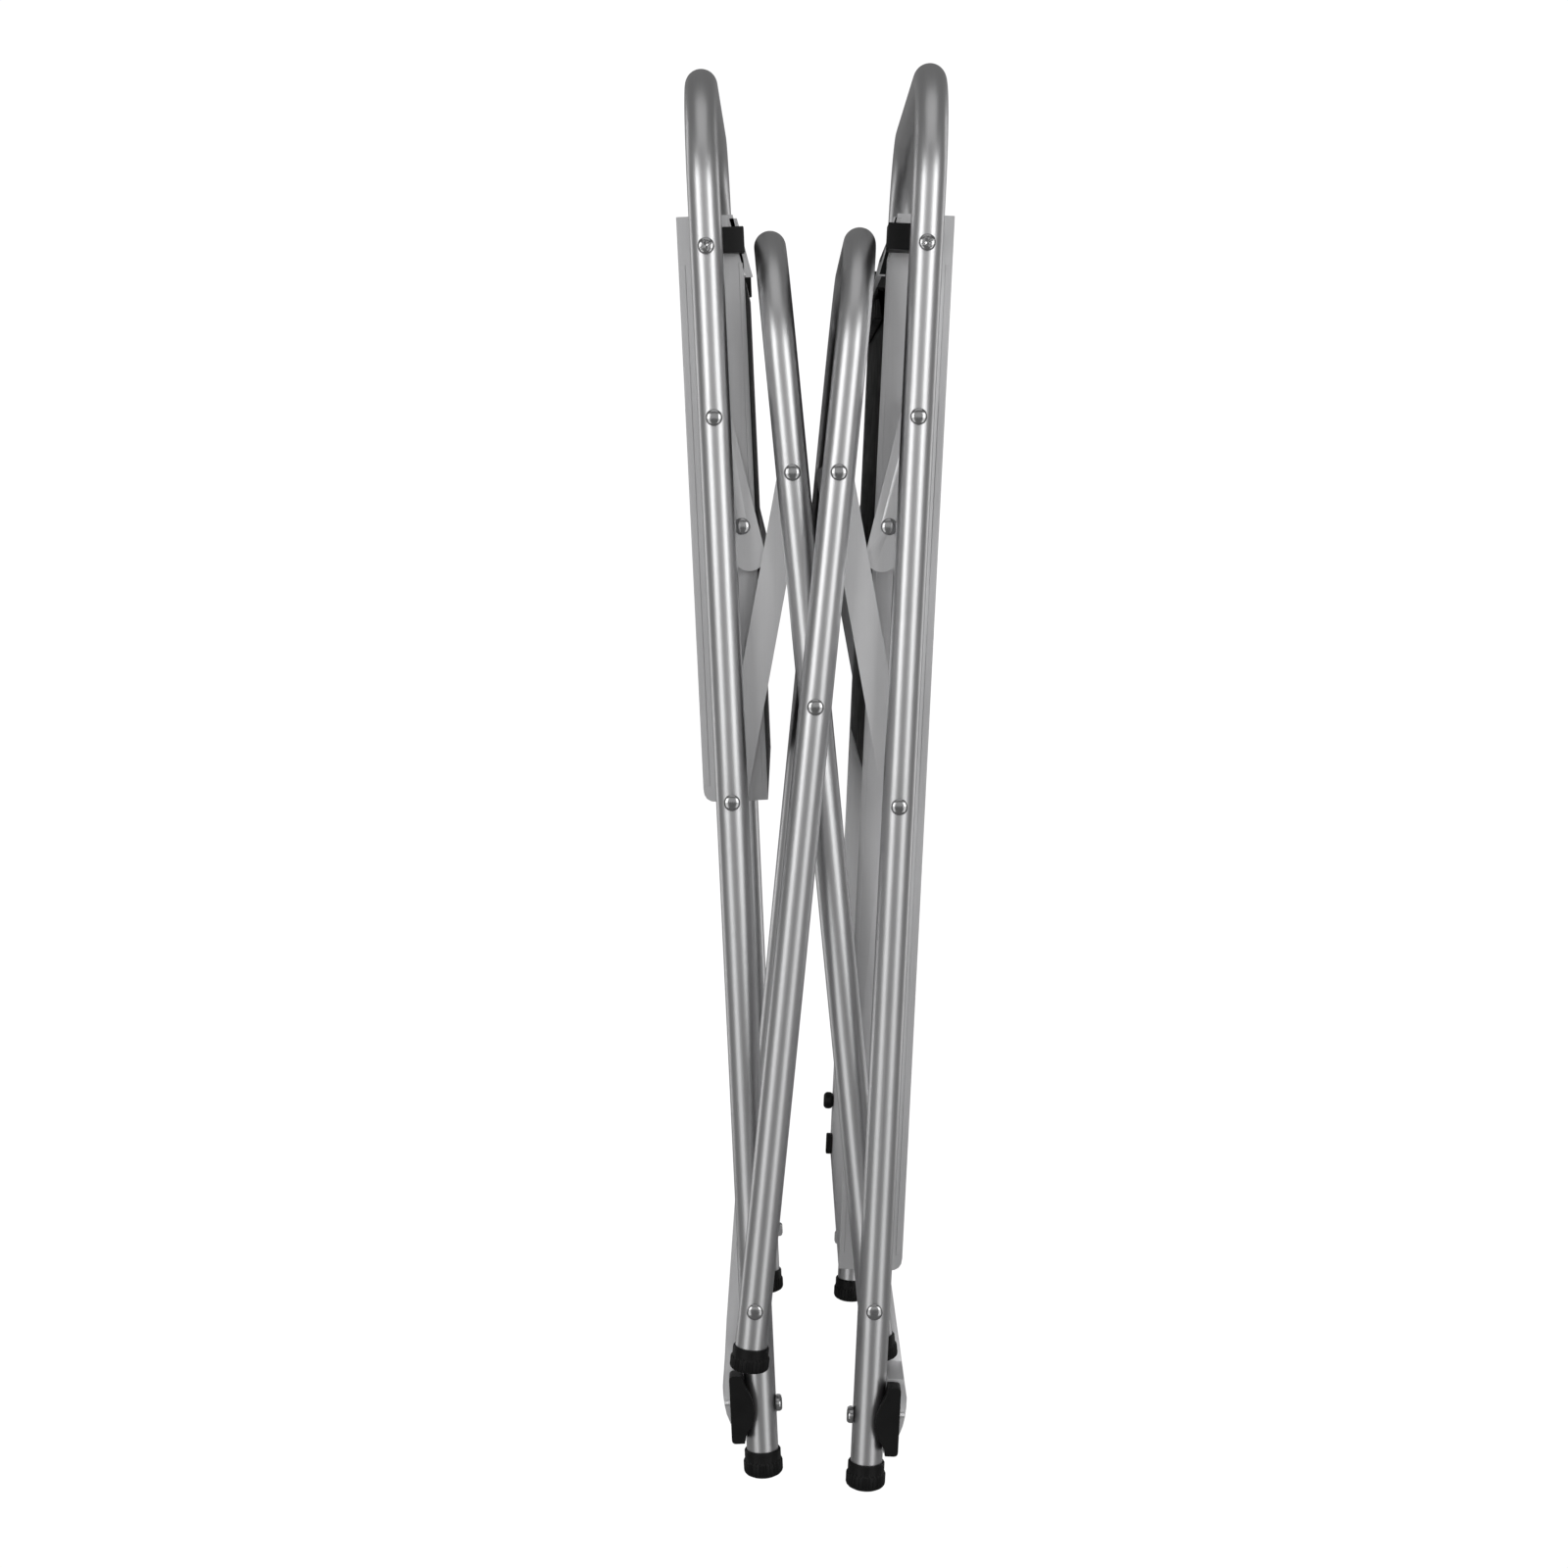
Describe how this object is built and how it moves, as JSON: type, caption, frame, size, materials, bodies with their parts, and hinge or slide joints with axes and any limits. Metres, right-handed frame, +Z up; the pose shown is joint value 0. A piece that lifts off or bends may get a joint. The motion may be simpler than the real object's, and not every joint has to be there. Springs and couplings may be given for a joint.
{
  "type": "folding camp table frame",
  "caption": "Folding aluminium camp frame: outer tube hoops with hinged side leaves, joined by crossed inner hoops and link bars, on capped feet.",
  "frame": {"origin": "on the floor under the middle of the folded frame", "axes": "+Z up; X across the fold, with the long leaf on +X; Y along the pivots, -Y toward the viewer"},
  "size_m": [0.1864, 0.483, 0.9683],
  "materials": {
    "tube_aluminium": "satin brushed anodised tube",
    "sheet_aluminium": "satin brushed flat sheet",
    "rivet_metal": "smooth plated rivets and screws",
    "black_plastic": "matte moulded plastic",
    "dark_paint": "dark grey coated board"
  },
  "bodies": {
    "right_frame": {"right_outer_hoop": "tube_aluminium", "right_foot_rail": "sheet_aluminium", "right_foot_near": "black_plastic", "right_saddle_near": "black_plastic", "right_link_rivet_near": "rivet_metal", "right_stay_rivet_near": "rivet_metal", "right_hinge_screw_near": "rivet_metal", "right_pivot_rivet_near": "rivet_metal", "right_foot_far": "black_plastic", "right_saddle_far": "black_plastic", "right_link_rivet_far": "rivet_metal", "right_stay_rivet_far": "rivet_metal", "right_hinge_screw_far": "rivet_metal", "right_pivot_rivet_far": "rivet_metal"},
    "left_frame": {"left_outer_hoop": "tube_aluminium", "left_foot_rail": "sheet_aluminium", "left_foot_near": "black_plastic", "left_saddle_near": "black_plastic", "left_link_rivet_near": "rivet_metal", "left_stay_rivet_near": "rivet_metal", "left_hinge_screw_near": "rivet_metal", "left_pivot_rivet_near": "rivet_metal", "left_foot_far": "black_plastic", "left_saddle_far": "black_plastic", "left_link_rivet_far": "rivet_metal", "left_stay_rivet_far": "rivet_metal", "left_hinge_screw_far": "rivet_metal", "left_pivot_rivet_far": "rivet_metal"},
    "inner_rear_frame": {"inner_rear_hoop": "tube_aluminium", "inner_rear_cap_near": "black_plastic", "inner_rear_cap_far": "black_plastic"},
    "inner_front_frame": {"inner_front_hoop": "tube_aluminium", "scissor_rivet_near": "rivet_metal", "scissor_rivet_far": "rivet_metal", "inner_front_cap_near": "black_plastic", "inner_front_cap_far": "black_plastic"},
    "right_links": {"right_link_near": "sheet_aluminium", "right_link_far": "sheet_aluminium"},
    "left_links": {"left_link_near": "sheet_aluminium", "left_link_far": "sheet_aluminium"},
    "right_leaf": {"right_leaf_shell": "sheet_aluminium", "right_leaf_board_upper": "dark_paint", "right_leaf_board_lower": "sheet_aluminium", "right_leaf_knob": "black_plastic", "right_leaf_stop": "black_plastic", "right_leaf_catch": "black_plastic", "right_hinge_block_near": "black_plastic", "right_hinge_block_far": "black_plastic"},
    "left_leaf": {"left_leaf_shell": "sheet_aluminium", "left_leaf_board": "dark_paint", "left_hinge_block_near": "dark_paint", "left_hinge_block_far": "dark_paint"},
    "right_stay_arms": {"right_stay_arm_near": "sheet_aluminium", "right_stay_arm_far": "sheet_aluminium"},
    "left_stay_arms": {"left_stay_arm_near": "sheet_aluminium", "left_stay_arm_far": "sheet_aluminium"},
    "right_stay_struts": {"right_stay_strut_near": "sheet_aluminium", "right_stay_strut_far": "sheet_aluminium"},
    "left_stay_struts": {"left_stay_strut_near": "sheet_aluminium", "left_stay_strut_far": "sheet_aluminium"}
  },
  "joints": [
    {"name": "fold", "type": "hinge", "parent": "right_frame", "child": "inner_rear_frame", "pos_m": [0.04052, 0, 0.12837], "axis": [0, -1, 0], "range_deg": [0, 48.38]},
    {"name": "scissor", "type": "hinge", "parent": "inner_rear_frame", "child": "inner_front_frame", "pos_m": [0, 0, 0.53938], "axis": [0, 1, 0], "range_deg": [0, 96.76]},
    {"name": "left_frame_pivot", "type": "hinge", "parent": "inner_front_frame", "child": "left_frame", "pos_m": [-0.04052, 0, 0.12837], "axis": [0, -1, 0], "range_deg": [0, 48.38]},
    {"name": "right_link_pivot", "type": "hinge", "parent": "right_frame", "child": "right_links", "pos_m": [0.05581, 0, 0.47303], "axis": [0, -1, 0], "range_deg": [0, 82.36]},
    {"name": "left_link_pivot", "type": "hinge", "parent": "left_frame", "child": "left_links", "pos_m": [-0.05581, 0, 0.47303], "axis": [0, 1, 0], "range_deg": [0, 82.36]},
    {"name": "right_leaf_hinge", "type": "hinge", "parent": "right_frame", "child": "right_leaf", "pos_m": [0.07216, 0, 0.84167], "axis": [0, -1, 0], "range_deg": [0, 92.54]},
    {"name": "right_stay_arm_pivot", "type": "hinge", "parent": "right_frame", "child": "right_stay_arms", "pos_m": [0.0672, 0, 0.72978], "axis": [0, -1, 0], "range_deg": [0, 149.81]},
    {"name": "right_stay_strut_pivot", "type": "hinge", "parent": "right_leaf", "child": "right_stay_struts", "pos_m": [0.06755, 0, 0.73777], "axis": [0, 1, 0], "range_deg": [0, 123.86]},
    {"name": "left_leaf_hinge", "type": "hinge", "parent": "left_frame", "child": "left_leaf", "pos_m": [-0.07216, 0, 0.84167], "axis": [0, 1, 0], "range_deg": [0, 92.54]},
    {"name": "left_stay_arm_pivot", "type": "hinge", "parent": "left_frame", "child": "left_stay_arms", "pos_m": [-0.0672, 0, 0.72978], "axis": [0, 1, 0], "range_deg": [0, 149.81]},
    {"name": "left_stay_strut_pivot", "type": "hinge", "parent": "left_leaf", "child": "left_stay_struts", "pos_m": [-0.06755, 0, 0.73777], "axis": [0, -1, 0], "range_deg": [0, 123.86]}
  ],
  "couplings": [
    {"joint": "scissor", "follows": "fold", "ratio": 2},
    {"joint": "left_frame_pivot", "follows": "fold", "ratio": 1},
    {"joint": "right_link_pivot", "follows": "fold", "ratio": 1.7022},
    {"joint": "left_link_pivot", "follows": "fold", "ratio": 1.7022},
    {"joint": "right_stay_arm_pivot", "follows": "right_leaf_hinge", "ratio": 1.6187},
    {"joint": "right_stay_strut_pivot", "follows": "right_leaf_hinge", "ratio": 1.3384},
    {"joint": "left_stay_arm_pivot", "follows": "left_leaf_hinge", "ratio": 1.6187},
    {"joint": "left_stay_strut_pivot", "follows": "left_leaf_hinge", "ratio": 1.3384}
  ]
}
